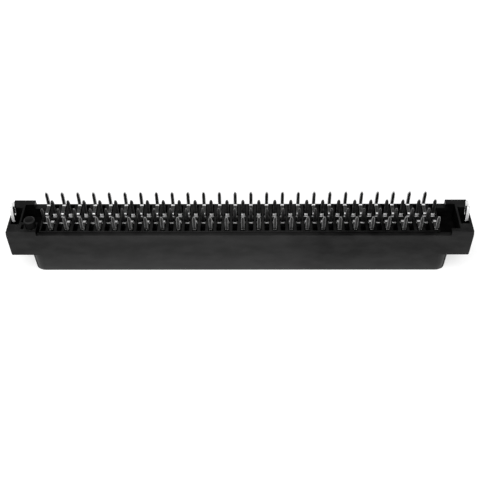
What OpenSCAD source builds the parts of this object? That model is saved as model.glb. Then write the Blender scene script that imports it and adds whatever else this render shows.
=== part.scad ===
// Straight board-mount ribbon connector, 100 positions, tails up, hood down.
// The origin is at the middle of the hood's rim, X runs along the contact banks.

/* [Contact field] */
// Contacts in each of the two banks
positions = 50; // [10:2:50]
// Distance between neighbouring contacts in a bank
pitch = 1.27; // [1.25:0.01:1.35]
// Distance between neighbouring rows of tails
row_pitch = 1.905; // [1.85:0.005:2]
// Distance between the middles of the two banks of blades
bank_pitch = 1.42; // [1.34:0.02:1.6]

/* [Contact] */
// Thickness of the contact strip
contact_t = 0.25; // [0.2:0.01:0.3]
// Width of the blade that lies on the tongue
blade_w = 0.62; // [0.5:0.01:0.66]
// Width of the shoulder that stops the contact in its slot
shoulder_w = 0.95; // [0.85:0.01:1]
// Height of the shoulder
shoulder_h = 0.8; // [0.5:0.05:1]
// Depth of the shoulder's upper edge under the comb's surface
shoulder_sink = 0.45; // [0.4:0.01:0.6]
// Width of the solder tail
tail_w = 0.55; // [0.4:0.01:0.6]
// Reach of the tails past the board seat
tail_len = 2.5; // [2:0.1:4]
// Length of the tail's tapered tip
tip_len = 0.5; // [0.3:0.05:1]
// Width across the end of the tip
tip_w = 0.3; // [0.2:0.02:0.34]
// Thickness of the end of the tip
tip_t = 0.15; // [0.1:0.01:0.2]
// Inside radius of the bends in the tails
bend_r = 0.12; // [0.08:0.01:0.2]
// Height of the small step that brings a straight tail into its row
kink_h = 0.36; // [0.3:0.02:0.4]
// Height of the step's upper end over the comb
kink_rise = 0.04; // [0:0.01:0.1]
// Length of the sloped lead-in at the mating end of the blade
lead_in = 0.3; // [0.2:0.05:0.5]
// Thickness left at the mating end of the blade
lead_t = 0.1; // [0.05:0.01:0.15]

/* [Body] */
// Depth of the body and hood, front to back
body_d = 7.4; // [7.2:0.1:9]
// Reach of the hood past the centre of the last contact
hood_end = 2.93; // [2.7:0.005:4]
// Reach of each flange past the hood
flange_ear = 2.95; // [2.9:0.05:5]
// Height of the hood from its rim to the underside of the flanges
hood_h = 3.8; // [3:0.02:5]
// Height from the underside of the flanges to the shelves
flange_h = 4.4; // [4.2:0.02:6]
// Rise of the comb above the shelves
comb_rise = 0.44; // [0.3:0.02:0.6]
// Rise of the board seat above the comb
seat_rise = 0.46; // [0.35:0.02:0.8]
// Inward slope of the hood's walls over their height
hood_draft = 0.12; // [0:0.02:0.2]
// Inward slope of the flange ends over their height
flange_draft = 0.02; // [0:0.02:0.2]
// Inward slope of the raised seats' ends over their height
seat_draft = 0.12; // [0:0.02:0.2]
// Radius of the hood's upright corners
hood_r = 1.9; // [1.3:0.1:2.4]

/* [Mating side] */
// Thickness of the hood's wall
hood_wall = 0.95; // [0.8:0.05:1.2]
// Depth of the hood's cavity
cavity_depth = 5; // [4:0.1:5.2]
// Radius of the cavity's upright corners
cavity_r = 1; // [0.4:0.1:1.4]
// Thickness of the tongue between the two banks
tongue_t = 1.52; // [1.46:0.02:1.56]
// Depth of the tongue's end inside the hood's rim
tongue_sink = 0.8; // [0.5:0.1:1.5]
// Length of plain tongue past the centre of the last contact
tongue_end = 0.8; // [0.7:0.05:1.2]
// Length of plain tongue under the blades' ends
tongue_lip = 0.4; // [0.35:0.05:0.8]
// Width of the chamfers along the tongue's end
tongue_chamfer = 0.3; // [0.1:0.05:0.3]
// Width of the lead-in chamfer round the hood's mouth
mouth_chamfer = 0.25; // [0.1:0.05:0.4]

/* [Comb] */
// Width of the open pockets in the comb
pocket_w = 0.78; // [0.67:0.01:0.8]
// Depth of the pockets and end recesses under the shelves
pocket_depth = 1.9; // [1.2:0.1:2]
// Length of the relief beside each shoulder, towards the body's middle
relief_l = 0.4; // [0.3:0.02:0.42]
// Comb material in front of the outermost tails
comb_margin = 0.24; // [0.2:0.02:0.4]
// Length of plain comb past the last contact at each end
comb_end = 0.635; // [0.6:0.005:0.7]

/* [Flange ends] */
// Thickness of the end walls outside the hold-downs
end_wall = 0.4; // [0.3:0.05:0.6]
// Width of the hold-down pockets along the body
hold_pocket_w = 1.35; // [1.1:0.05:1.5]
// Length of the hold-down pockets across the body
hold_pocket_l = 3.8; // [3:0.1:4.5]
// Thickness of the rib between the pocket and the end recess
rib_t = 0.3; // [0.25:0.05:0.5]
// Thickness of the walls behind the end recesses
recess_wall = 1.1; // [0.9:0.05:1.3]
// Thickness of the walls in front of the end recesses
front_wall = 0.75; // [0.7:0.05:1]
// Distance of the raised seats from the centre of the last contact
seat_in = 2.3; // [2.1:0.05:2.4]

/* [Locating peg] */
// Diameter of the peg
peg_d = 1.76; // [1.5:0.02:1.9]
// Height of the peg above the board seat
peg_h = 1.56; // [1.2:0.02:2.5]
// Distance of the peg from the centre of the first contact, along the body
peg_x = 1.94; // [1.9:0.02:2.1]
// Distance of the peg from the body's middle, towards the front
peg_y = 2.4; // [2:0.05:2.5]
// Width of the chamfer round the peg's top
peg_chamfer = 0.18; // [0.1:0.02:0.3]
// Width of the platform round the peg's foot
platform_margin = 0.04; // [0.02:0.01:0.1]
// Thickness of the wall between the peg's foot and the core-out beside it
core_gap = 0.25; // [0.2:0.01:0.3]
// Width of the core-out beside the peg
core_w = 0.42; // [0.3:0.02:0.5]
// Length of the core-out beside the peg
core_l = 1; // [0.6:0.1:1.2]

/* [Hold-downs] */
// Thickness of the hold-down's sheet
hold_t = 0.5; // [0.4:0.02:0.55]
// Width of the hold-down across the body
hold_w = 1.9; // [1.6:0.1:2.4]
// Width of the slot between the two legs
hold_slot_w = 0.5; // [0.4:0.05:0.6]
// Reach of the legs past the board seat
hold_len = 2.5; // [2:0.1:3.5]
// Inward lean of the legs at their ends
hold_lean = 0.15; // [0:0.05:0.4]
// Width across the end of each leg
hold_tip_w = 0.3; // [0.2:0.02:0.4]
// Length of the root that is pressed into the flange
hold_root = 1.5; // [1:0.1:1.6]
// Distance of the hold-down from the end wall
hold_gap = 0.06; // [0.02:0.02:0.1]

/* [Fits] */
// Clearance on each side of a contact or a hold-down in its slot
fit = 0.02; // [0.01:0.01:0.04]

/* [Hidden] */
// Overlap of joined forms and overshoot of cuts
eps = 0.01;
over = 1;
// Steps in the arc of a bend
bend_steps = 5;
$fn = 48;

function two_digits(i) = str(i < 10 ? "0" : "", i);
function contact_name(i) = str("contacts_", two_digits(i));

// Heights from the rim
shelf_z = hood_h + flange_h;
comb_z = shelf_z + comb_rise;
seat_z = comb_z + seat_rise;
floor_z = shelf_z - pocket_depth;
shoulder_top = comb_z - shoulder_sink;
shoulder_bottom = shoulder_top - shoulder_h;
blade_bottom = tongue_sink + tongue_lip;
tail_z = seat_z + tail_len;

// Lengths along the body
field_x = (positions - 1) * pitch / 2;
hood_x = field_x + hood_end;
flange_x = hood_x + flange_ear;
flange_top_x = flange_x - seat_draft;
pocket_end_x = flange_top_x - end_wall;
pocket_x = pocket_end_x - hold_pocket_w;
rib_x = pocket_x - rib_t;
comb_x = field_x + comb_end;
seat_x = field_x + seat_in;
peg_cx = field_x + peg_x;
platform_x = peg_cx - peg_d / 2 - platform_margin;
core_x = peg_cx + peg_d / 2 + core_gap;

// Depths across the body
plane_y = bank_pitch / 2;
inner_row_y = row_pitch / 2;
outer_row_y = inner_row_y + row_pitch;
slot_y = plane_y - contact_t / 2 - fit;
pocket_end_y = outer_row_y + contact_t / 2 - fit;
comb_y = outer_row_y + comb_margin;
recess_y = body_d / 2 - recess_wall;
front_y = body_d / 2 - front_wall;
platform_y = peg_y - peg_d / 2 - platform_margin;

function contact_x(i) = (i - 1) * pitch - field_x;

// A box given by two opposite corners
module span(a, b) {
    translate(a) cube(b - a);
}

// A bar with sloped long sides and round upright corners, small end down
module drafted_bar(half_l, half_d, r, h, draft) {
    rotate([90, 0, 90])
        linear_extrude(height = 2 * (half_l - r), center = true)
            polygon([[draft - half_d, 0], [half_d - draft, 0], [half_d, h], [-half_d, h]]);
    rotate([90, 0, 0])
        linear_extrude(height = 2 * (half_d - r), center = true)
            polygon([[draft - half_l, 0], [half_l - draft, 0], [half_l, h], [-half_l, h]]);
    for (sx = [-1, 1], sy = [-1, 1])
        translate([sx * (half_l - r), sy * (half_d - r), 0])
            cylinder(h = h, r1 = r - draft, r2 = r);
}

// A rectangle with round corners
module round_plan(half_l, half_d, r) {
    square([2 * half_l, 2 * (half_d - r)], center = true);
    square([2 * (half_l - r), 2 * half_d], center = true);
    for (sx = [-1, 1], sy = [-1, 1])
        translate([sx * (half_l - r), sy * (half_d - r)])
            circle(r = r);
}

// The long body with its raised seats at both ends
module body_block() {
    low_x = flange_x - flange_draft;
    rotate([90, 0, 0])
        linear_extrude(height = body_d, center = true)
            polygon([
                [-low_x, hood_h], [low_x, hood_h],
                [flange_x, shelf_z], [flange_top_x, seat_z],
                [seat_x, seat_z], [seat_x, shelf_z],
                [-seat_x, shelf_z], [-seat_x, seat_z],
                [-flange_top_x, seat_z], [-flange_x, shelf_z]
            ]);
}

// Raised platform that carries the peg, in front of the left recess
module peg_platform() {
    span([-rib_x - eps, -body_d / 2, shelf_z - eps], [-platform_x, -platform_y, seat_z]);
}

module comb_block() {
    span([-comb_x, -comb_y, shelf_z - eps], [comb_x, comb_y, comb_z]);
}

module peg() {
    straight = peg_h - peg_chamfer;
    translate([-peg_cx, -peg_y, seat_z - eps]) {
        cylinder(d = peg_d, h = straight + eps);
        translate([0, 0, straight + eps])
            cylinder(r1 = peg_d / 2, r2 = peg_d / 2 - peg_chamfer, h = peg_chamfer);
    }
}

// Tongue between the two banks, with its end chamfered
module tongue() {
    half = tongue_t / 2;
    end = half - tongue_chamfer;
    rotate([90, 0, 90])
        linear_extrude(height = 2 * (field_x + tongue_end), center = true)
            polygon([
                [-end, tongue_sink], [end, tongue_sink], [half, tongue_sink + tongue_chamfer],
                [half, cavity_depth + eps], [-half, cavity_depth + eps], [-half, tongue_sink + tongue_chamfer]
            ]);
}

// Room between the hood's walls, without the tongue, with a lead-in round its mouth
module hood_cavity() {
    half_l = hood_x - hood_wall;
    half_d = body_d / 2 - hood_wall;
    difference() {
        translate([0, 0, -eps])
            linear_extrude(height = cavity_depth + eps)
                round_plan(half_l, half_d, cavity_r);
        tongue();
    }
    mouth = mouth_chamfer + eps;
    translate([0, 0, mouth_chamfer])
        mirror([0, 0, 1])
            drafted_bar(half_l + mouth, half_d + mouth, cavity_r + mouth, mouth, mouth);
}

// Slot of one contact: shoulder seat with its relief, open pocket and blade groove, on the back bank
module contact_slot() {
    wide = shoulder_w / 2 + fit;
    narrow = blade_w / 2 + fit;
    back = plane_y + contact_t / 2 + fit;
    span([-wide, slot_y, shoulder_bottom], [wide, back, comb_z + eps]);
    span([-wide, slot_y - relief_l, shoulder_top], [wide, slot_y + eps, comb_z + eps]);
    span([-pocket_w / 2, slot_y, floor_z], [pocket_w / 2, pocket_end_y, comb_z + eps]);
    span([-narrow, slot_y, blade_bottom - fit], [narrow, back, floor_z + eps]);
}

// Pocket in a flange for the hold-down, on the right end
module hold_pocket() {
    span([pocket_x, -hold_pocket_l / 2, floor_z],
         [pocket_end_x, hold_pocket_l / 2, seat_z + eps]);
    outer = pocket_end_x - hold_gap;
    span([outer - hold_t - fit, -hold_w / 2 - fit, floor_z - hold_root],
         [outer + fit, hold_w / 2 + fit, floor_z + eps]);
}

// Open recess between the comb and the hold-down on the plain end
module plain_recess() {
    span([comb_x, -front_y, floor_z], [rib_x, recess_y, seat_z + eps]);
}

// Open recess on the peg's end, with a channel on one side of the platform and a core-out on the other
module peg_recess() {
    span([-rib_x, -platform_y, floor_z], [-comb_x, recess_y, seat_z + eps]);
    span([-platform_x, -front_y, floor_z], [-comb_x, -platform_y + eps, seat_z + eps]);
    span([-core_x - core_w, -front_y, floor_z], [-core_x, -front_y + core_l, seat_z + eps]);
}

module housing() {
    color([0.09, 0.09, 0.1])
    difference() {
        union() {
            drafted_bar(hood_x, body_d / 2, hood_r, hood_h, hood_draft);
            body_block();
            peg_platform();
            comb_block();
            peg();
        }
        hood_cavity();
        for (i = [1:positions], side = [0, 1])
            translate([contact_x(i), 0, 0])
                mirror([0, side, 0])
                    contact_slot();
        hold_pocket();
        mirror([1, 0, 0]) hold_pocket();
        plain_recess();
        peg_recess();
    }
}

// Points of an arc about a centre, from one angle to another
function arc(c, r, from, to) =
    [for (k = [0:bend_steps]) let(a = from + (to - from) * k / bend_steps) c + r * [cos(a), sin(a)]];

// Side outline of a contact whose tail stands in the inner row, past a small step
function straight_profile() = let(
    in = plane_y - contact_t / 2, out = plane_y + contact_t / 2,
    step = inner_row_y - plane_y, row = inner_row_y,
    high = comb_z + kink_rise, low = high - kink_h,
    miter = contact_t / 2 * tan(atan2(step, kink_h) / 2)
) [
    [in, blade_bottom], [in + lead_t, blade_bottom], [out, blade_bottom + lead_in],
    [out, low - miter], [out + step, high - miter],
    [out + step, tail_z - tip_len], [row + tip_t / 2, tail_z],
    [row - tip_t / 2, tail_z], [in + step, tail_z - tip_len],
    [in + step, high + miter], [in, low + miter]
];

// Side outline of a contact whose tail jogs out by one row
function jogged_profile() = let(
    in = plane_y - contact_t / 2, out = plane_y + contact_t / 2,
    row = outer_row_y, r2 = bend_r + contact_t,
    low = comb_z, high = comb_z + contact_t
) concat(
    [[in, blade_bottom], [in + lead_t, blade_bottom], [out, blade_bottom + lead_in]],
    arc([out + bend_r, low - bend_r], bend_r, 180, 90),
    arc([row + contact_t / 2 - r2, low + r2], r2, -90, 0),
    [[row + contact_t / 2, tail_z - tip_len], [row + tip_t / 2, tail_z],
     [row - tip_t / 2, tail_z], [row - contact_t / 2, tail_z - tip_len]],
    arc([row - contact_t / 2 - bend_r, high + bend_r], bend_r, 0, -90),
    arc([in + r2, high - r2], r2, 90, 180)
);

// Front outline of the flat blank
function blank_outline() = let(b = blade_w / 2, s = shoulder_w / 2, t = tail_w / 2) [
    [-b, blade_bottom], [b, blade_bottom], [b, shoulder_bottom], [s, shoulder_bottom],
    [s, shoulder_top], [t, shoulder_top], [t, tail_z - tip_len], [tip_w / 2, tail_z],
    [-tip_w / 2, tail_z], [-t, tail_z - tip_len], [-t, shoulder_top], [-s, shoulder_top],
    [-s, shoulder_bottom], [-b, shoulder_bottom]
];

// One contact of the back bank: the flat blank, bent to its side outline
module contact(jogged) {
    intersection() {
        rotate([90, 0, 90])
            linear_extrude(height = shoulder_w + over, center = true)
                polygon(jogged ? jogged_profile() : straight_profile());
        translate([0, outer_row_y + contact_t, 0])
            rotate([90, 0, 0])
                linear_extrude(height = outer_row_y + contact_t)
                    polygon(blank_outline());
    }
}

// The two contacts that face each other at one position
module contact_pair(i) {
    odd = i % 2 == 1;
    color([0.82, 0.82, 0.8])
    translate([contact_x(i), 0, 0]) {
        contact(odd);
        mirror([0, 1, 0]) contact(!odd);
    }
}

// Hold-down of the right end, with two legs that lean inwards
module hold_down() {
    outer = pocket_end_x - hold_gap;
    root_z = floor_z - hold_root;
    top_z = seat_z + hold_len;
    leg = (hold_w - hold_slot_w) / 2;
    leg_y = hold_slot_w / 2 + leg / 2;
    tip = hold_tip_w / 2;
    color([0.86, 0.86, 0.84])
    intersection() {
        rotate([90, 0, 0])
            linear_extrude(height = hold_w + over, center = true)
                polygon([
                    [outer - hold_t, root_z], [outer, root_z], [outer, seat_z],
                    [outer - hold_lean, top_z], [outer - hold_t - hold_lean, top_z], [outer - hold_t, seat_z]
                ]);
        translate([outer - hold_t - hold_lean - over, 0, 0])
            rotate([90, 0, 90])
                linear_extrude(height = hold_t + hold_lean + 2 * over)
                    polygon(concat(
                        [[-hold_w / 2, root_z], [hold_w / 2, root_z]],
                        [[hold_w / 2, top_z - leg], [leg_y + tip, top_z],
                         [leg_y - tip, top_z], [hold_slot_w / 2, top_z - leg]],
                        arc([0, seat_z + hold_slot_w], hold_slot_w / 2, 0, -180),
                        [[-hold_slot_w / 2, top_z - leg], [-leg_y + tip, top_z],
                         [-leg_y - tip, top_z], [-hold_w / 2, top_z - leg]]
                    ));
    }
}

module hold_down_left() {
    mirror([1, 0, 0]) hold_down();
}

module hold_down_right() {
    hold_down();
}

housing();
hold_down_left();
hold_down_right();
for (i = [1:positions])
    contact_pair(i);
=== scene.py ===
import math

import bpy
from mathutils import Euler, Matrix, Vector


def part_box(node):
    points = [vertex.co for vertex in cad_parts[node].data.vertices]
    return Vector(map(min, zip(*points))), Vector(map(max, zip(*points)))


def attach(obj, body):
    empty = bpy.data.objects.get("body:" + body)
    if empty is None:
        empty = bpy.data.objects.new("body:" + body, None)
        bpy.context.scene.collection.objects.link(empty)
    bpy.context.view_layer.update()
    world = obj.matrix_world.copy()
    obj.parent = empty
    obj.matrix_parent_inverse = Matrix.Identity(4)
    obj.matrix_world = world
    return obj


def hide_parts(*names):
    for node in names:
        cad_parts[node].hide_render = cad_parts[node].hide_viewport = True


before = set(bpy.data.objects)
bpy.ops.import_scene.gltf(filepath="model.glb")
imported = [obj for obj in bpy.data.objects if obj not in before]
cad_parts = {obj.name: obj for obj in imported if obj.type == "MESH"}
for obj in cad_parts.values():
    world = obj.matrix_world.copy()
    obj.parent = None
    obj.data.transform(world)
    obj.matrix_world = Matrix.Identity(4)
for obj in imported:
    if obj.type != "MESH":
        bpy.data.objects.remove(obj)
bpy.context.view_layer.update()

# Sizes are in millimetres and become metres through MM
MM = 0.001

# Levels and faces of the part that the roundings, the finishes and the painted light and shade go by
HOUSING_LOW, HOUSING_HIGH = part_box("housing")
FLANGE_X = HOUSING_HIGH.x
FLANGE_LENGTH = 2.95 * MM
HOOD_X = FLANGE_X - FLANGE_LENGTH
HALF_DEPTH = -HOUSING_LOW.y
SEAT_Z = 9.1 * MM
COMB_Z = 8.64 * MM
SHOULDER_Z = 8.19 * MM
SHELF_Z = 8.2 * MM
FLANGE_UNDERSIDE_Z = 3.8 * MM
TONGUE_END_Z = 0.8 * MM
LEVEL_TOLERANCE = 0.004 * MM
MERGE_DISTANCE = 0.0001 * MM
FLAT_ANGLE = math.radians(0.5)
SHARP_ANGLE = math.radians(35)
ROUNDING_STEPS = 3
LARGE_FACE_WEIGHT = 100

POSITIONS = 50
PAIR_NODES = ["contacts_%02d" % number for number in range(1, POSITIONS + 1)]


# Tools for selecting and shaping

def deselect_all():
    for item in bpy.context.selected_objects:
        item.select_set(False)


def activate(piece):
    deselect_all()
    piece.select_set(True)
    bpy.context.view_layer.objects.active = piece


def merged_copy(node, name):
    """A piece made from a copy of a CAD node, with its loose triangles merged into flat faces."""
    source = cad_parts[node]
    piece = bpy.data.objects.new(name, source.data.copy())
    bpy.context.scene.collection.objects.link(piece)
    piece.data.name = name
    piece.data.materials.clear()
    activate(piece)
    bpy.ops.object.mode_set(mode="EDIT")
    bpy.ops.mesh.select_all(action="SELECT")
    bpy.ops.mesh.customdata_custom_splitnormals_clear()
    bpy.ops.mesh.remove_doubles(threshold=MERGE_DISTANCE)
    bpy.ops.mesh.dissolve_limited(angle_limit=FLAT_ANGLE)
    bpy.ops.object.mode_set(mode="OBJECT")
    return piece


def apply_modifier(piece, modifier):
    activate(piece)
    bpy.ops.object.modifier_apply(modifier=modifier.name)


def cut(piece, places_y=(), places_z=()):
    """Cuts a piece's faces along upright flats at places in y and level flats at places in z."""
    flats = [((0, place, 0), (0, 1, 0)) for place in places_y]
    flats += [((0, 0, place), (0, 0, 1)) for place in places_z]
    activate(piece)
    bpy.ops.object.mode_set(mode="EDIT")
    for point, direction in flats:
        bpy.ops.mesh.select_all(action="SELECT")
        bpy.ops.mesh.bisect(plane_co=point, plane_no=direction)
    bpy.ops.object.mode_set(mode="OBJECT")


def at(value, level):
    """Whether a value lies at a level, within the tolerance."""
    return abs(value - level) < LEVEL_TOLERANCE


def edge_angles(mesh):
    """For each edge, the angle between its two faces, positive on an outer corner."""
    faces_of = {}
    for face in mesh.polygons:
        for key in face.edge_keys:
            faces_of.setdefault(key, []).append(face)
    angles = []
    for edge in mesh.edges:
        pair = faces_of.get(tuple(sorted(edge.vertices)), [])
        if len(pair) != 2:
            angles.append(0.0)
            continue
        first, second = pair
        angle = first.normal.angle(second.normal, 0.0)
        outward = (second.center - first.center).dot(first.normal) < 0
        angles.append(angle if outward else -angle)
    return angles


def round_edges(piece, radius_of, material_index=None):
    """Rounds each outer corner by the radius that radius_of gives for its two ends."""
    mesh = piece.data
    angles = edge_angles(mesh)
    radii = []
    for edge, angle in zip(mesh.edges, angles):
        a, b = (mesh.vertices[index].co for index in edge.vertices)
        radii.append(radius_of(a, b) if angle > SHARP_ANGLE else 0.0)
    largest = max(radii)
    weights = mesh.attributes.new("bevel_weight_edge", "FLOAT", "EDGE")
    for index, radius in enumerate(radii):
        weights.data[index].value = radius / largest
    rounding = piece.modifiers.new("rounding", "BEVEL")
    rounding.limit_method = "WEIGHT"
    rounding.offset_type = "OFFSET"
    rounding.width = largest
    rounding.segments = ROUNDING_STEPS
    rounding.use_clamp_overlap = False
    if material_index is not None:
        rounding.material = material_index
    apply_modifier(piece, rounding)
    smooth_roundings(piece)


def smooth_roundings(piece):
    """Smooths the roundings while each flat face keeps its own flat shading."""
    activate(piece)
    bpy.ops.object.shade_smooth_by_angle(angle=SHARP_ANGLE)
    weighting = piece.modifiers.new("weighting", "WEIGHTED_NORMAL")
    weighting.mode = "FACE_AREA"
    weighting.weight = LARGE_FACE_WEIGHT
    weighting.keep_sharp = True
    apply_modifier(piece, weighting)


def give_finishes(piece, finishes):
    for finish in finishes:
        piece.data.materials.append(finish)


def finish_piece(piece, node):
    """Hangs the piece under the root body and hides the CAD node that it stands for."""
    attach(piece, "root")
    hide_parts(node)


# Materials. The noise spends most of its time near its middle, so each reading of it names a range.

TINT_RANGE = (0.38, 0.62)
SPREAD_RANGE = (0.3, 0.7)


class Recipe:
    """A new material, with its nodes laid out from short calls."""

    def __init__(self, name):
        self.material = bpy.data.materials.new(name)
        self.material.use_nodes = True
        self.tree = self.material.node_tree
        self.shader = self.tree.nodes["Principled BSDF"]
        self.place = self.tree.nodes.new("ShaderNodeTexCoord").outputs["Object"]

    def node(self, kind, **settings):
        made = self.tree.nodes.new(kind)
        for key, value in settings.items():
            setattr(made, key, value)
        return made

    def link(self, source, target):
        self.tree.links.new(source, target)

    def stretched(self, scale):
        """The object's coordinates, stretched by a scale for each axis."""
        mapping = self.node("ShaderNodeMapping")
        mapping.inputs["Scale"].default_value = scale
        self.link(self.place, mapping.inputs["Vector"])
        return mapping.outputs["Vector"]

    def noise(self, grain, detail=3.0, scale=(1, 1, 1)):
        """Noise whose blotches are about grain millimetres across."""
        texture = self.node("ShaderNodeTexNoise")
        texture.inputs["Scale"].default_value = 1 / (grain * MM)
        texture.inputs["Detail"].default_value = detail
        self.link(self.stretched(scale), texture.inputs["Vector"])
        return texture.outputs["Fac"]

    def spread(self, source, low, high, source_range=SPREAD_RANGE):
        """A value that goes from low to high as the source goes through its range."""
        spreading = self.node("ShaderNodeMapRange")
        spreading.inputs["From Min"].default_value = source_range[0]
        spreading.inputs["From Max"].default_value = source_range[1]
        spreading.inputs["To Min"].default_value = low
        spreading.inputs["To Max"].default_value = high
        self.link(source, spreading.inputs["Value"])
        return spreading.outputs["Result"]

    def tint(self, source, low, high):
        """A colour between two greys, chosen by the noise."""
        return self.ramp(source, [(TINT_RANGE[0], low), (TINT_RANGE[1], high)])

    def ramp(self, source, stops):
        """A grey that goes through stops of (value of the source from 0 to 1, grey)."""
        tinting = self.node("ShaderNodeValToRGB")
        elements = tinting.color_ramp.elements
        while len(elements) < len(stops):
            elements.new(0.5)
        for element, (position, grey) in zip(elements, stops):
            element.position = position
            element.color = (grey, grey, grey, 1)
        self.link(source, tinting.inputs["Fac"])
        return tinting.outputs["Color"]

    def along(self, axis, stops):
        """A grey that changes along one axis, through stops of (place in millimetres, grey)."""
        parts = self.node("ShaderNodeSeparateXYZ")
        self.link(self.place, parts.inputs[0])
        first, last = stops[0][0], stops[-1][0]
        share = self.spread(parts.outputs[axis], 0.0, 1.0, (first * MM, last * MM))
        return self.ramp(share, [((place - first) / (last - first), grey) for place, grey in stops])

    def add(self, first, second):
        """The sum of two greys."""
        mix = self.node("ShaderNodeMix", data_type="RGBA", blend_type="ADD")
        mix.inputs["Factor"].default_value = 1.0
        self.link(first, mix.inputs["A"])
        self.link(second, mix.inputs["B"])
        return mix.outputs["Result"]

    def bump(self, layers):
        """Bumps in layers of (height source, depth in millimetres)."""
        normal = None
        for source, depth in layers:
            step = self.node("ShaderNodeBump")
            step.inputs["Strength"].default_value = 1.0
            step.inputs["Distance"].default_value = depth * MM
            self.link(source, step.inputs["Height"])
            if normal is not None:
                self.link(normal, step.inputs["Normal"])
            normal = step.outputs["Normal"]
        self.link(normal, self.shader.inputs["Normal"])


def moulded_plastic(name, low, high, gloss, roughness, painted_tones=None):
    """Black glass-filled plastic, with clouds in its skin and faint flow streaks along the body, and
    painted light tones added to its grey along the axes.
    """
    recipe = Recipe(name)
    clouds = recipe.noise(1.6, 5.0, (0.5, 1, 1))
    streaks = recipe.noise(0.35, 3.0, (0.12, 1, 1))
    grain = recipe.noise(0.06, 2.0)
    base = recipe.tint(clouds, low, high)
    # Adds the painted light tones, paler or darker along each axis
    for axis, stops in (painted_tones or {}).items():
        base = recipe.add(base, recipe.along(axis, stops))
    recipe.link(base, recipe.shader.inputs["Base Color"])
    recipe.link(recipe.spread(streaks, *roughness), recipe.shader.inputs["Roughness"])
    recipe.bump([(streaks, 0.002), (grain, 0.0012)])
    recipe.shader.inputs["Specular IOR Level"].default_value = gloss
    return recipe.material


def tin_plate(name, low, high, roughness, streak_depth, metallic, gloss=0.5):
    """Tin plating over rolled strip, with fine streaks along its length."""
    recipe = Recipe(name)
    clouds = recipe.noise(0.4, 3.0)
    streaks = recipe.noise(0.05, 2.0, (1, 1, 0.15))
    recipe.link(recipe.tint(clouds, low, high), recipe.shader.inputs["Base Color"])
    recipe.link(recipe.spread(streaks, *roughness), recipe.shader.inputs["Roughness"])
    recipe.shader.inputs["Metallic"].default_value = metallic
    recipe.shader.inputs["Specular IOR Level"].default_value = gloss
    recipe.bump([(streaks, streak_depth)])
    return recipe.material


# The moulding's skin is painted paler over the left end and the middle, as painted light where more
# light fell than at the right end, and in thin bands at the shelf and seat levels, as a painted
# highlight along their top edges; it is also paler low on the hood.
# For each axis, stops of (place in millimetres, grey to add).
PAINTED_LIGHT_TONES = {
    "Z": [(0, 0.03), (1.2, 0.017), (4.5, 0.001), (6.5, 0), (7.6, 0.004), (8.18, 0.0015),
          (8.195, 0.006), (8.3, 0.0005), (9.05, 0.0005), (9.09, 0.006), (9.2, 0.006), (9.3, 0)],
    "X": [(-37, 0.001), (-28, 0.004), (-19, 0.0085), (0, 0.0105),
          (8, 0.009), (13, 0), (34, 0), (37, 0.003)],
}

# Each moulded finish has its darkest and palest grey, gloss, roughness range and painted light tones
SKIN = moulded_plastic("moulded_skin", 0, 0.008, 0.14, (0.28, 0.42), PAINTED_LIGHT_TONES)
# Painted shade: the core is painted darker than the skin, for the cavities and the peg's side where
# shade falls; it is also less glossy.
SHADED_CORE = moulded_plastic("moulded_core_painted_shade", 0.001, 0.004, 0.05, (0.45, 0.6))
# Painted highlight: the peg's rim is painted paler where its rounding catches the light.
PEG_RIM_HIGHLIGHT = moulded_plastic("peg_rim_painted_highlight", 0.012, 0.026, 0.14, (0.4, 0.5))

# Each plated material has its darkest and palest grey, roughness range, streak depth, metal and gloss.
# They are copies of one tin plate, some painted darker and some paler by how light falls on each kind of
# face.
# Painted reflection: the strips' flat faces are painted near black, standing in for a reflection of
# dark, shaded surroundings.
STRIP_FACE_DARK_REFLECTION = tin_plate("strip_face_painted_dark_reflection", 0.014, 0.032, (0.26, 0.4), 0.0006, 0.5, 0.2)
# Painted sheen: the roundings and level tops are a rougher tin, painted paler than the faces as a
# highlight along the edges.
STRIP_DULL_SHEEN = tin_plate("strip_dull_painted_sheen", 0.12, 0.2, (0.28, 0.4), 0.001, 1.0)
# Painted highlight: the bends are painted near white where they catch the light.
STRIP_BEND_HIGHLIGHT = tin_plate("strip_bend_painted_highlight", 0.84, 0.93, (0.4, 0.52), 0.0012, 0.6)
# Painted highlight: the steps and shoulder tops are painted pale where they catch the light.
STRIP_STEP_HIGHLIGHT = tin_plate("strip_step_painted_highlight", 0.4, 0.6, (0.26, 0.4), 0.0012, 1.0)
# Painted highlight, dimmer than the bends': the roundings of the front outer bends, which face the
# shaded floor.
STRIP_DIM_HIGHLIGHT = tin_plate("strip_edge_dim_highlight", 0.2, 0.3, (0.26, 0.4), 0.001, 1.0)
# Painted shade and highlight on the forks: their faces are painted dark, and their sheared edges pale as
# a highlight.
FORK_FACE_SHADE = tin_plate("fork_face_painted_shade", 0.1, 0.16, (0.2, 0.32), 0.0008, 1.0)
FORK_EDGE_HIGHLIGHT = tin_plate("fork_edge_painted_highlight", 0.9, 0.96, (0.4, 0.52), 0.0015, 0.35)

# Each piece's finishes and painted light and shade, in the order of its material slots
MOULDING_FINISHES_AND_PAINTED_LIGHT = [SKIN, SHADED_CORE, PEG_RIM_HIGHLIGHT]
STRIP_FINISHES_AND_PAINTED_LIGHT = [STRIP_FACE_DARK_REFLECTION, STRIP_DULL_SHEEN, STRIP_BEND_HIGHLIGHT, STRIP_STEP_HIGHLIGHT, STRIP_DIM_HIGHLIGHT]
FORK_FINISHES_AND_PAINTED_LIGHT = [FORK_FACE_SHADE, FORK_EDGE_HIGHLIGHT]


# The housing moulding

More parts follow.
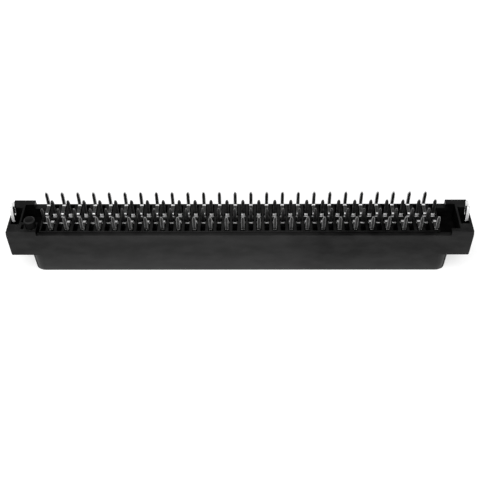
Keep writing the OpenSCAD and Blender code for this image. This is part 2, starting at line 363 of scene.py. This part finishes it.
OUTER_ROUNDING = 0.12 * MM
CORNER_ROUNDING = 0.3 * MM
UNDERSIDE_ROUNDING = 0.05 * MM
RIM_ROUNDING = 0.1 * MM
SEAT_ROUNDING = 0.05 * MM
PEG_ROUNDING = 0.05 * MM
COMB_ROUNDING = 0.03 * MM
TONGUE_ROUNDING = 0.05 * MM
FLANGE_END_SLOPE = 0.14 * MM
HOOD_WALL = 0.95 * MM
PEG_CENTRE = Vector((-33.055, -2.4)) * MM
PEG_RADIUS = 0.88 * MM
PEG_MIDDLE_Z = 9.6 * MM
UPRIGHT_TILT = 0.2
LEVEL_TILT = 0.99


def housing_radius(a, b):
    """The rounding of one edge of the moulding, by where it runs."""
    middle = (a + b) / 2
    level = at(a.z, b.z)
    on_front_or_back = at(abs(a.y), HALF_DEPTH) and at(abs(b.y), HALF_DEPTH)
    on_flange_end = abs(middle.x) > FLANGE_X - FLANGE_END_SLOPE
    if level and at(a.z, 0):
        past_wall = abs(middle.y) < HALF_DEPTH - HOOD_WALL / 2 and abs(middle.x) < HOOD_X - HOOD_WALL / 2
        return 0.0 if past_wall else RIM_ROUNDING
    if level and at(a.z, TONGUE_END_Z):
        return TONGUE_ROUNDING
    if level and at(a.z, FLANGE_UNDERSIDE_Z):
        if on_flange_end:
            return CORNER_ROUNDING
        return UNDERSIDE_ROUNDING if on_front_or_back else 0.0
    if on_front_or_back or on_flange_end:
        return OUTER_ROUNDING if middle.z > FLANGE_UNDERSIDE_Z - LEVEL_TOLERANCE else 0.0
    if level and at(a.z, SEAT_Z):
        return SEAT_ROUNDING
    if level and at(a.z, COMB_Z):
        return COMB_ROUNDING
    return PEG_ROUNDING if middle.z > PEG_MIDDLE_Z else 0.0


def paint_moulding_shade_and_highlight(piece):
    """Gives the cavities and the peg's side the duller core, painted darker as shade, and paints a
    highlight on the peg's rim.
    """
    shaded_core, rim_highlight = MOULDING_FINISHES_AND_PAINTED_LIGHT.index(SHADED_CORE), MOULDING_FINISHES_AND_PAINTED_LIGHT.index(PEG_RIM_HIGHLIGHT)
    for face in piece.data.polygons:
        centre = face.center
        tilt = abs(face.normal.z)
        past_side = abs(centre.y) < HALF_DEPTH - HOOD_WALL / 2
        past_end = abs(centre.x) < FLANGE_X - HOOD_WALL / 3
        in_recess = past_side and past_end and centre.z < SHELF_Z - LEVEL_TOLERANCE
        over_foot = (centre.xy - PEG_CENTRE).length < PEG_RADIUS + LEVEL_TOLERANCE
        on_peg = over_foot and centre.z > SEAT_Z
        # Painted shade in the cavities and on the peg's side
        if in_recess or (on_peg and tilt < UPRIGHT_TILT):
            face.material_index = shaded_core
        # Painted highlight on the peg's rim
        elif on_peg and tilt < LEVEL_TILT:
            face.material_index = rim_highlight


def make_housing():
    """The black moulding, its outer edges rounded most and its comb least."""
    piece = merged_copy("housing", "housing_moulding")
    give_finishes(piece, MOULDING_FINISHES_AND_PAINTED_LIGHT)
    round_edges(piece, housing_radius)
    paint_moulding_shade_and_highlight(piece)
    finish_piece(piece, "housing")


# The contacts, two facing each other at each position. BEND_TILT is how far a face's normal leans
# to z in a bend. A strip is nearly straight, or jogs by one row through a first and a second bend.

STRIP_REACH = [corner.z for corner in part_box(PAIR_NODES[0])]
STRIP_ROUNDING = 0.085 * MM
TIP_ROUNDING = 0.065 * MM
COLLAR_ROUNDING = 0.07 * MM
TIP_LENGTH = 0.5 * MM
BLADE_END_LENGTH = 0.6 * MM
BEND_TILT = (0.2, 0.95)
PLANE_Y = 0.71 * MM
FIRST_BEND_LOW_Z = 8.34 * MM
FIRST_BEND_MIDDLE_Z = 8.53 * MM
FIRST_BEND_TOP_Z = 8.9 * MM
FIRST_BEND_Y = 1.2 * MM
SECOND_BEND_TOP_Z = 9.3 * MM
SECOND_BEND_Y = 2.48 * MM
# The band across the front level runs that is painted as a bright highlight dash
DASH_HIGHLIGHT_Y = (1.05 * MM, 1.3 * MM)
COLLAR_Z = 8.25 * MM
COLLAR_SIZE = Vector((0.72, 0.45, 0.16)) * MM


def strip_radius(a, b):
    """A wide rounding along the strip, and a small one where it tapers."""
    low, high = STRIP_REACH
    near_tip = max(a.z, b.z) > high - TIP_LENGTH / 2 or min(a.z, b.z) < low + BLADE_END_LENGTH
    if abs((a.z + b.z) / 2 - COLLAR_Z) < COLLAR_SIZE.z / 2 + LEVEL_TOLERANCE:
        return COLLAR_ROUNDING
    return TIP_ROUNDING if near_tip else STRIP_ROUNDING


def paint_strip_light(piece, jogged_side):
    """The painted grey of each bend, step, shoulder top and outer edge, where jogged_side is 1 or -1 in
    y: painted highlights on the bends, steps, shoulder tops and a dash across the front runs, a dimmer
    painted highlight on the front outer bends, and the sheen grey on level tops.
    """
    dull_sheen, bend_highlight, step, edge = range(1, len(STRIP_FINISHES_AND_PAINTED_LIGHT))
    for face in piece.data.polygons:
        centre = face.center
        if centre.z < SHOULDER_Z - LEVEL_TOLERANCE:
            continue
        tilt = abs(face.normal.z)
        sloped = BEND_TILT[0] < tilt < BEND_TILT[1]
        level = tilt >= BEND_TILT[1]
        outward = centre.y * jogged_side
        in_first_bend = FIRST_BEND_LOW_Z < centre.z < FIRST_BEND_TOP_Z and abs(centre.y) < FIRST_BEND_Y
        under_bend = 0 < outward < PLANE_Y and FIRST_BEND_LOW_Z < centre.z < FIRST_BEND_MIDDLE_Z
        in_second_bend = abs(centre.y) > SECOND_BEND_Y and centre.z < SECOND_BEND_TOP_Z
        in_dash_highlight = level and centre.z > COMB_Z and DASH_HIGHLIGHT_Y[0] < -centre.y < DASH_HIGHLIGHT_Y[1]
        # Painted highlights on the dash, under the first bend and on the second bend
        if in_dash_highlight or under_bend or (in_second_bend and tilt > BEND_TILT[0]):
            face.material_index = bend_highlight
        elif sloped and in_first_bend:
            # Painted highlight on the step's outer side, and the bend's highlight on its inner side
            face.material_index = step if outward > 0 else bend_highlight
        # Painted highlight on the steps and shoulder tops below the first bend
        elif (sloped or level) and centre.z < FIRST_BEND_LOW_Z:
            face.material_index = step
        elif level:
            face.material_index = dull_sheen
        # A painted highlight on the back outer bends, and a dimmer one on the front
        elif face.material_index == dull_sheen and abs(centre.y) > SECOND_BEND_Y:
            face.material_index = bend_highlight if centre.y > 0 else edge


def add_collars(piece, place_x):
    """The coined collar round each contact of a pair, just over its shoulder."""
    for place_y in (-PLANE_Y, PLANE_Y):
        deselect_all()
        bpy.ops.mesh.primitive_cube_add(size=1, location=(place_x, place_y, COLLAR_Z), scale=COLLAR_SIZE)
        collar = bpy.context.active_object
        bpy.ops.object.transform_apply(location=True, rotation=True, scale=True)
        activate(piece)
        collar.select_set(True)
        bpy.ops.object.join()


def make_pair(node, name, jogged_side):
    """A pair, with its level runs cut across where the painted highlight dash starts and ends, on both
    sides, and where they bend.
    """
    piece = merged_copy(node, name)
    give_finishes(piece, STRIP_FINISHES_AND_PAINTED_LIGHT)
    dash_low, dash_high = DASH_HIGHLIGHT_Y
    back_cuts = [dash_low, dash_high, SECOND_BEND_Y]
    front_cuts = [-SECOND_BEND_Y, -dash_high, -dash_low]
    cut(piece, front_cuts + back_cuts, [FIRST_BEND_LOW_Z])
    low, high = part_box(node)
    add_collars(piece, (low.x + high.x) / 2)
    # The roundings take the rougher tin, painted paler as a highlight along the edges
    round_edges(piece, strip_radius, STRIP_FINISHES_AND_PAINTED_LIGHT.index(STRIP_DULL_SHEEN))
    paint_strip_light(piece, jogged_side)
    return piece


def copy_pair(model, model_node, node, name):
    """A copy of a finished pair, moved to another position in its mesh."""
    piece = bpy.data.objects.new(name, model.data.copy())
    bpy.context.scene.collection.objects.link(piece)
    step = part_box(node)[0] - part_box(model_node)[0]
    for vertex in piece.data.vertices:
        vertex.co += step
    return piece


def make_contacts():
    """Models the first two pairs, with the jog at the back and at the front, and copies them along."""
    models = [make_pair(PAIR_NODES[0], "contact_pair_01", 1)]
    models.append(make_pair(PAIR_NODES[1], "contact_pair_02", -1))
    for number, node in enumerate(PAIR_NODES):
        kind = number % len(models)
        if number < len(models):
            piece = models[kind]
        else:
            name = "contact_pair_%02d" % (number + 1)
            piece = copy_pair(models[kind], PAIR_NODES[kind], node, name)
        finish_piece(piece, node)


# The forked hold-downs

FORK_ROUNDING = 0.08 * MM
SHEARED_SIDE = 0.9
FORK_FOOT_Z = 8.72 * MM
FORK_SLOT = 0.3 * MM


def fork_radius(a, b):
    """The same rounding all round the fork."""
    return FORK_ROUNDING


def make_hold_down(node, name):
    """A fork whose sheared edges are a matte tin painted pale as a highlight above the foot, and whose
    faces, edges below the foot and slot between its legs are painted dark as shade.
    """
    piece = merged_copy(node, name)
    give_finishes(piece, FORK_FINISHES_AND_PAINTED_LIGHT)
    cut(piece, places_z=[FORK_FOOT_Z])
    plain_shade, pale_highlight = FORK_FINISHES_AND_PAINTED_LIGHT.index(FORK_FACE_SHADE), FORK_FINISHES_AND_PAINTED_LIGHT.index(FORK_EDGE_HIGHLIGHT)
    round_edges(piece, fork_radius, pale_highlight)
    for face in piece.data.polygons:
        sheared = abs(face.normal.x) < SHEARED_SIDE
        in_slot = abs(face.normal.y) > SHEARED_SIDE and abs(face.center.y) < FORK_SLOT
        above_foot = face.center.z > FORK_FOOT_Z
        # Painted highlight on the sheared edges above the foot, painted shade everywhere else
        face.material_index = pale_highlight if sheared and above_foot and not in_slot else plain_shade
    finish_piece(piece, node)


# Floor, light and camera, with places and sizes in metres and power in watts

FLOOR_SIZE = 4.0
FLOOR_PAINT = 0.6
FLOOR_GLOW = 0.6
SKY_LOW = 0.9
SKY_HIGH = 0.2
SKY_FADE = 0.6
LAMP_AIM = Vector((0, 0, 0))


def make_floor():
    """A pale floor that stays white to the eye and keeps the part's soft shadow."""
    deselect_all()
    bpy.ops.mesh.primitive_plane_add(size=FLOOR_SIZE, location=(0, 0, 0))
    floor = bpy.context.active_object
    floor.name = "floor"
    material = bpy.data.materials.new("pale_floor")
    material.use_nodes = True
    nodes, links = material.node_tree.nodes, material.node_tree.links
    nodes.remove(nodes["Principled BSDF"])
    paint = nodes.new("ShaderNodeBsdfDiffuse")
    paint.inputs["Color"].default_value = (FLOOR_PAINT, FLOOR_PAINT, FLOOR_PAINT, 1)
    rays = nodes.new("ShaderNodeLightPath")
    seen = rays.outputs["Is Camera Ray"]
    for kind in ("Is Glossy Ray", "Is Transmission Ray"):
        either = nodes.new("ShaderNodeMath")
        either.operation = "MAXIMUM"
        links.new(seen, either.inputs[0])
        links.new(rays.outputs[kind], either.inputs[1])
        seen = either.outputs[0]
    level = nodes.new("ShaderNodeMath")
    level.operation = "MULTIPLY"
    level.inputs[1].default_value = FLOOR_GLOW
    links.new(seen, level.inputs[0])
    glow = nodes.new("ShaderNodeEmission")
    links.new(level.outputs[0], glow.inputs["Strength"])
    both = nodes.new("ShaderNodeAddShader")
    links.new(paint.outputs[0], both.inputs[0])
    links.new(glow.outputs[0], both.inputs[1])
    links.new(both.outputs[0], nodes["Material Output"].inputs["Surface"])
    floor.data.materials.append(material)


def add_softbox(name, place, size, power):
    """A wide lamp that is aimed at the part."""
    bpy.ops.object.light_add(type="AREA", location=place)
    lamp = bpy.context.active_object
    lamp.name = name
    lamp.data.shape = "RECTANGLE"
    lamp.data.size, lamp.data.size_y = size
    lamp.data.energy = power
    lamp.rotation_euler = (LAMP_AIM - Vector(place)).to_track_quat("-Z", "Y").to_euler()


def make_sky():
    """A pale band round the horizon that dims upwards, so that only the lamps shine from above."""
    world = bpy.data.worlds.new("studio")
    bpy.context.scene.world = world
    world.use_nodes = True
    nodes, links = world.node_tree.nodes, world.node_tree.links
    direction = nodes.new("ShaderNodeTexCoord")
    parts = nodes.new("ShaderNodeSeparateXYZ")
    links.new(direction.outputs["Generated"], parts.inputs[0])
    fade = nodes.new("ShaderNodeMapRange")
    fade.inputs["From Max"].default_value = SKY_FADE
    fade.inputs["To Min"].default_value = SKY_LOW
    fade.inputs["To Max"].default_value = SKY_HIGH
    links.new(parts.outputs["Z"], fade.inputs["Value"])
    links.new(fade.outputs["Result"], nodes["Background"].inputs["Strength"])
    nodes["Background"].inputs["Color"].default_value = (1, 1, 1, 1)


def light_scene():
    make_sky()
    deselect_all()
    add_softbox("overhead", place=(-0.1, -0.25, 0.55), size=(0.9, 0.7), power=4.2)
    add_softbox("front", place=(0, -0.6, 0.27), size=(0.8, 0.15), power=0.2)


# The camera stands where the photograph was taken from, worked out from the tails' grid. Its film
# is as wide as the picture.
EYE = Vector((2.43, -92.69, 99.87)) * MM
TURN = math.radians(1.45)
LOOK_DOWN = math.radians(46.13)
ROLL = math.radians(-1.12)
LENS = 60.7
FILM = 36.0


def make_camera():
    deselect_all()
    bpy.ops.object.camera_add(location=EYE)
    camera = bpy.context.active_object
    camera.name = "camera"
    camera.data.lens = LENS
    camera.data.sensor_width = FILM
    camera.data.clip_start = 0.01
    camera.data.clip_end = 10.0
    turn, roll = (Euler((0, 0, angle)).to_matrix() for angle in (TURN, ROLL))
    tilt = Euler((math.pi / 2 - LOOK_DOWN, 0, 0)).to_matrix()
    camera.rotation_euler = (turn @ tilt @ roll).to_euler()
    bpy.context.scene.camera = camera


make_housing()
make_contacts()
make_hold_down("hold_down_left", "hold_down_fork_left")
make_hold_down("hold_down_right", "hold_down_fork_right")
make_floor()
light_scene()
make_camera()
bpy.context.scene.view_settings.view_transform = "Standard"
